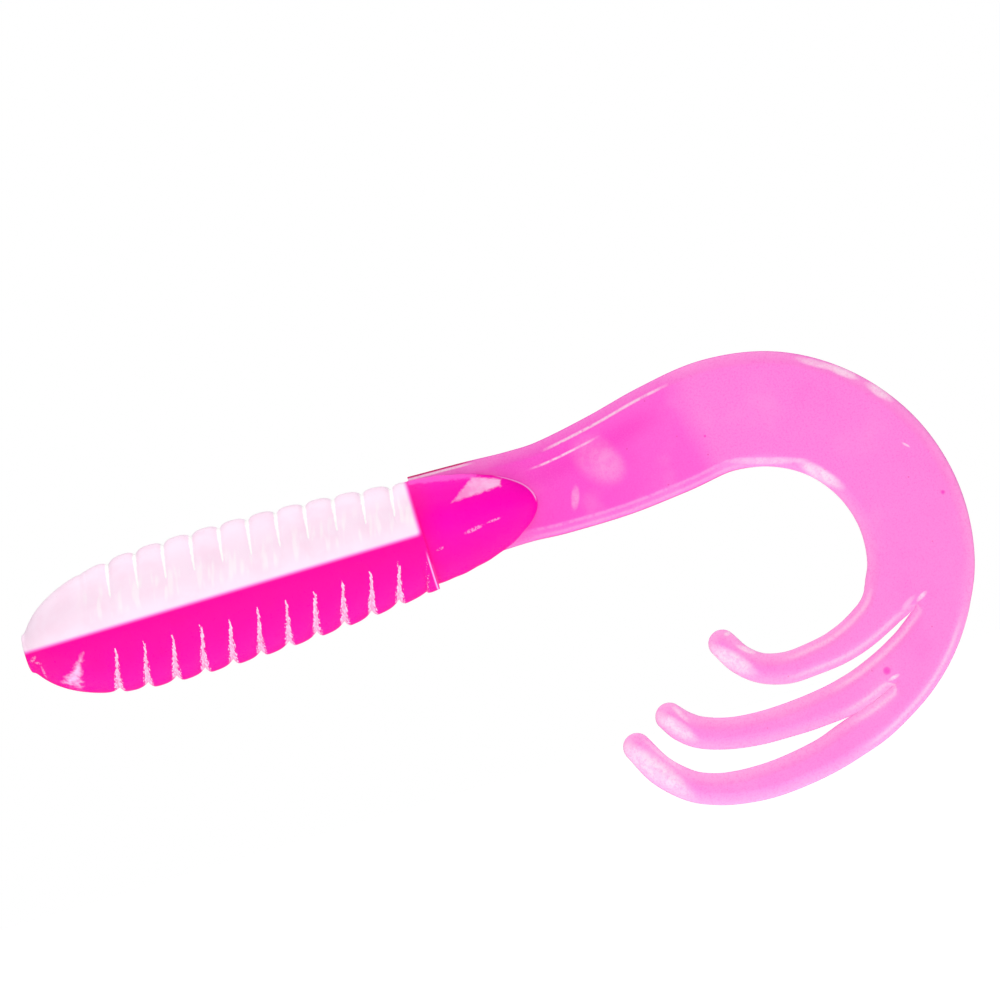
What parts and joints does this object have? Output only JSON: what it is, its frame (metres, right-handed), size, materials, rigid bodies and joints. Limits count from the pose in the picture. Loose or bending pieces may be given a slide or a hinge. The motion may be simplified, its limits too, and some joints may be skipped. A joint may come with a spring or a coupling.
{
  "type": "soft plastic worm",
  "caption": "Soft plastic fishing grub with a ribbed two-colour body, a bullet-shaped rear and a flat curled tail that ends in three tentacles, flexing along its length.",
  "frame": {"origin": "centre of the flat end of the nose, on the body's axis, where a jig head's collar sits", "axes": "+X runs from the nose along the body's axis towards the tail, +Z points from the pink belly to the pale back, and +Y goes across the body, square to the plane that the tail lies in"},
  "size_m": [0.0999, 0.0148, 0.0466],
  "materials": {
    "pale_back": "glossy soft plastisol, pale pinkish white",
    "pink_belly": "glossy soft plastisol, opaque hot pink",
    "clear_pink_tail": "glossy soft plastisol, translucent pink"
  },
  "bodies": {
    "nose": {"nose_back": "pale_back", "nose_belly": "pink_belly"},
    "rib_01": {"rib_01_back": "pale_back", "rib_01_belly": "pink_belly"},
    "rib_02": {"rib_02_back": "pale_back", "rib_02_belly": "pink_belly"},
    "rib_03": {"rib_03_back": "pale_back", "rib_03_belly": "pink_belly"},
    "rib_04": {"rib_04_back": "pale_back", "rib_04_belly": "pink_belly"},
    "rib_05": {"rib_05_back": "pale_back", "rib_05_belly": "pink_belly"},
    "rib_06": {"rib_06_back": "pale_back", "rib_06_belly": "pink_belly"},
    "rib_07": {"rib_07_back": "pale_back", "rib_07_belly": "pink_belly"},
    "rib_08": {"rib_08_back": "pale_back", "rib_08_belly": "pink_belly"},
    "rib_09": {"rib_09_back": "pale_back", "rib_09_belly": "pink_belly"},
    "rib_10": {"rib_10_back": "pale_back", "rib_10_belly": "pink_belly"},
    "rib_11": {"rib_11_back": "pale_back", "rib_11_belly": "pink_belly"},
    "rear": {"collar_back": "pale_back", "collar_belly": "pink_belly", "bullet": "pink_belly", "tail_root": "clear_pink_tail"},
    "blade_1": {"blade_1": "clear_pink_tail"},
    "blade_2": {"blade_2": "clear_pink_tail"},
    "blade_3": {"blade_3": "clear_pink_tail"},
    "blade_4": {"blade_4": "clear_pink_tail"},
    "blade_5": {"blade_5": "clear_pink_tail"},
    "blade_6": {"blade_6": "clear_pink_tail"},
    "blade_7": {"blade_7": "clear_pink_tail"},
    "blade_8": {"blade_8": "clear_pink_tail"},
    "fork": {"fork": "clear_pink_tail"},
    "inner_tentacle_1": {"inner_tentacle_1": "clear_pink_tail"},
    "inner_tentacle_2": {"inner_tentacle_2": "clear_pink_tail"},
    "inner_tentacle_3": {"inner_tentacle_3": "clear_pink_tail"},
    "middle_tentacle_1": {"middle_tentacle_1": "clear_pink_tail"},
    "middle_tentacle_2": {"middle_tentacle_2": "clear_pink_tail"},
    "middle_tentacle_3": {"middle_tentacle_3": "clear_pink_tail"},
    "outer_tentacle_1": {"outer_tentacle_1": "clear_pink_tail"},
    "outer_tentacle_2": {"outer_tentacle_2": "clear_pink_tail"},
    "outer_tentacle_3": {"outer_tentacle_3": "clear_pink_tail"},
    "outer_tentacle_4": {"outer_tentacle_4": "clear_pink_tail"}
  },
  "joints": [
    {"name": "body_sway", "type": "hinge", "parent": "nose", "child": "rib_01", "pos_m": [0.0085, 0, 0], "axis": [-0.006, 0, 1], "range_deg": [-6, 6], "stiffness_Nm_per_rad": 0.6},
    {"name": "body_arch", "type": "hinge", "parent": "rib_01", "child": "rib_02", "pos_m": [0.0116, 0, 0], "axis": [0.004, -1, 0.003], "range_deg": [-5, 5], "stiffness_Nm_per_rad": 1.6},
    {"name": "body_sway_2", "type": "hinge", "parent": "rib_02", "child": "rib_03", "pos_m": [0.0147, 0, 0], "axis": [-0.006, 0, 1], "range_deg": [-6, 6]},
    {"name": "body_arch_2", "type": "hinge", "parent": "rib_03", "child": "rib_04", "pos_m": [0.0178, 0, 0], "axis": [0.004, -1, 0.003], "range_deg": [-5, 5]},
    {"name": "body_sway_3", "type": "hinge", "parent": "rib_04", "child": "rib_05", "pos_m": [0.0209, 0, 0], "axis": [-0.006, 0, 1], "range_deg": [-6, 6]},
    {"name": "body_arch_3", "type": "hinge", "parent": "rib_05", "child": "rib_06", "pos_m": [0.024, 0, 0], "axis": [0.004, -1, 0.003], "range_deg": [-5, 5]},
    {"name": "body_sway_4", "type": "hinge", "parent": "rib_06", "child": "rib_07", "pos_m": [0.0271, 0, 0], "axis": [-0.006, 0, 1], "range_deg": [-6, 6]},
    {"name": "body_arch_4", "type": "hinge", "parent": "rib_07", "child": "rib_08", "pos_m": [0.0302, 0, 0], "axis": [0.004, -1, 0.003], "range_deg": [-5, 5]},
    {"name": "body_sway_5", "type": "hinge", "parent": "rib_08", "child": "rib_09", "pos_m": [0.0333, 0, 0], "axis": [-0.006, 0, 1], "range_deg": [-6, 6]},
    {"name": "body_arch_5", "type": "hinge", "parent": "rib_09", "child": "rib_10", "pos_m": [0.0364, 0, 0], "axis": [0.004, -1, 0.003], "range_deg": [-5, 5]},
    {"name": "body_sway_6", "type": "hinge", "parent": "rib_10", "child": "rib_11", "pos_m": [0.0395, 0, 0], "axis": [-0.006, 0, 1], "range_deg": [-6, 6]},
    {"name": "body_arch_6", "type": "hinge", "parent": "rib_11", "child": "rear", "pos_m": [0.0426, 0, 0], "axis": [0.004, -1, 0.003], "range_deg": [-5, 5]},
    {"name": "tail_sway", "type": "hinge", "parent": "rear", "child": "blade_1", "pos_m": [0.059, 0, 0.00095], "axis": [-0.0483, 0, 0.9988], "range_deg": [-14, 14], "stiffness_Nm_per_rad": 0.05},
    {"name": "tail_uncurl", "type": "hinge", "parent": "blade_1", "child": "blade_2", "pos_m": [0.0653, 0, 0.0015], "axis": [0.004, -1, 0.003], "range_deg": [-5, 18], "stiffness_Nm_per_rad": 0.25},
    {"name": "tail_sway_2", "type": "hinge", "parent": "blade_2", "child": "blade_3", "pos_m": [0.0714, 0, 0.00245], "axis": [-0.1389, 0, 0.9903], "range_deg": [-14, 14]},
    {"name": "tail_uncurl_2", "type": "hinge", "parent": "blade_3", "child": "blade_4", "pos_m": [0.0775, 0, 0.0032], "axis": [0.004, -1, 0.003], "range_deg": [-5, 18]},
    {"name": "tail_sway_3", "type": "hinge", "parent": "blade_4", "child": "blade_5", "pos_m": [0.08349, 0, 0.00209], "axis": [0.3583, 0, 0.9336], "range_deg": [-14, 14]},
    {"name": "tail_uncurl_3", "type": "hinge", "parent": "blade_5", "child": "blade_6", "pos_m": [0.08867, 0, -0.00109], "axis": [0.004, -1, 0.003], "range_deg": [-5, 18]},
    {"name": "tail_sway_4", "type": "hinge", "parent": "blade_6", "child": "blade_7", "pos_m": [0.09238, 0, -0.00592], "axis": [0.891, 0, 0.454], "range_deg": [-14, 14]},
    {"name": "tail_uncurl_4", "type": "hinge", "parent": "blade_7", "child": "blade_8", "pos_m": [0.09411, 0, -0.01175], "axis": [0.004, -1, 0.003], "range_deg": [-5, 18]},
    {"name": "tail_sway_5", "type": "hinge", "parent": "blade_8", "child": "fork", "pos_m": [0.09363, 0, -0.01782], "axis": [0.9657, 0, -0.2596], "range_deg": [-14, 14]},
    {"name": "inner_sway", "type": "hinge", "parent": "fork", "child": "inner_tentacle_1", "pos_m": [0.086, 0, -0.0226], "axis": [0.513, 0, -0.8584], "range_deg": [-15, 15], "stiffness_Nm_per_rad": 0.002},
    {"name": "inner_uncurl", "type": "hinge", "parent": "inner_tentacle_1", "child": "inner_tentacle_2", "pos_m": [0.0796, 0, -0.0244], "axis": [0.004, -1, 0.003], "range_deg": [-2.5, 9]},
    {"name": "inner_sway_2", "type": "hinge", "parent": "inner_tentacle_2", "child": "inner_tentacle_3", "pos_m": [0.0742, 0, -0.02375], "axis": [-0.4552, 0, -0.8904], "range_deg": [-15, 15]},
    {"name": "middle_sway", "type": "hinge", "parent": "fork", "child": "middle_tentacle_1", "pos_m": [0.0815, 0, -0.0292], "axis": [0.196, 0, -0.9806], "range_deg": [-15, 15], "stiffness_Nm_per_rad": 0.002},
    {"name": "middle_uncurl", "type": "hinge", "parent": "middle_tentacle_1", "child": "middle_tentacle_2", "pos_m": [0.075, 0, -0.02985], "axis": [0.004, -1, 0.003], "range_deg": [-2.5, 9]},
    {"name": "middle_sway_2", "type": "hinge", "parent": "middle_tentacle_2", "child": "middle_tentacle_3", "pos_m": [0.069, 0, -0.0294], "axis": [-0.2186, 0, -0.9758], "range_deg": [-15, 15]},
    {"name": "outer_sway", "type": "hinge", "parent": "fork", "child": "outer_tentacle_1", "pos_m": [0.081, 0, -0.0339], "axis": [0.287, 0, -0.9579], "range_deg": [-15, 15], "stiffness_Nm_per_rad": 0.002},
    {"name": "outer_uncurl", "type": "hinge", "parent": "outer_tentacle_1", "child": "outer_tentacle_2", "pos_m": [0.0746, 0, -0.0352], "axis": [0.004, -1, 0.003], "range_deg": [-2.5, 9]},
    {"name": "outer_sway_2", "type": "hinge", "parent": "outer_tentacle_2", "child": "outer_tentacle_3", "pos_m": [0.0685, 0, -0.0352], "axis": [-0.1303, 0, -0.9915], "range_deg": [-15, 15]},
    {"name": "outer_uncurl_2", "type": "hinge", "parent": "outer_tentacle_3", "child": "outer_tentacle_4", "pos_m": [0.0634, 0, -0.0335], "axis": [0.004, -1, 0.003], "range_deg": [-2.5, 9]}
  ],
  "couplings": [
    {"joint": "body_sway_2", "follows": "body_sway", "ratio": 1},
    {"joint": "body_arch_2", "follows": "body_arch", "ratio": 1},
    {"joint": "body_sway_3", "follows": "body_sway", "ratio": 1},
    {"joint": "body_arch_3", "follows": "body_arch", "ratio": 1},
    {"joint": "body_sway_4", "follows": "body_sway", "ratio": 1},
    {"joint": "body_arch_4", "follows": "body_arch", "ratio": 1},
    {"joint": "body_sway_5", "follows": "body_sway", "ratio": 1},
    {"joint": "body_arch_5", "follows": "body_arch", "ratio": 1},
    {"joint": "body_sway_6", "follows": "body_sway", "ratio": 1},
    {"joint": "body_arch_6", "follows": "body_arch", "ratio": 1},
    {"joint": "tail_sway_2", "follows": "tail_sway", "ratio": 1},
    {"joint": "tail_uncurl_2", "follows": "tail_uncurl", "ratio": 1},
    {"joint": "tail_sway_3", "follows": "tail_sway", "ratio": 1},
    {"joint": "tail_uncurl_3", "follows": "tail_uncurl", "ratio": 1},
    {"joint": "tail_sway_4", "follows": "tail_sway", "ratio": 1},
    {"joint": "tail_uncurl_4", "follows": "tail_uncurl", "ratio": 1},
    {"joint": "tail_sway_5", "follows": "tail_sway", "ratio": 1},
    {"joint": "inner_uncurl", "follows": "tail_uncurl", "ratio": 0.5},
    {"joint": "inner_sway_2", "follows": "inner_sway", "ratio": 1},
    {"joint": "middle_uncurl", "follows": "tail_uncurl", "ratio": 0.5},
    {"joint": "middle_sway_2", "follows": "middle_sway", "ratio": 1},
    {"joint": "outer_uncurl", "follows": "tail_uncurl", "ratio": 0.5},
    {"joint": "outer_sway_2", "follows": "outer_sway", "ratio": 1},
    {"joint": "outer_uncurl_2", "follows": "tail_uncurl", "ratio": 0.5}
  ]
}
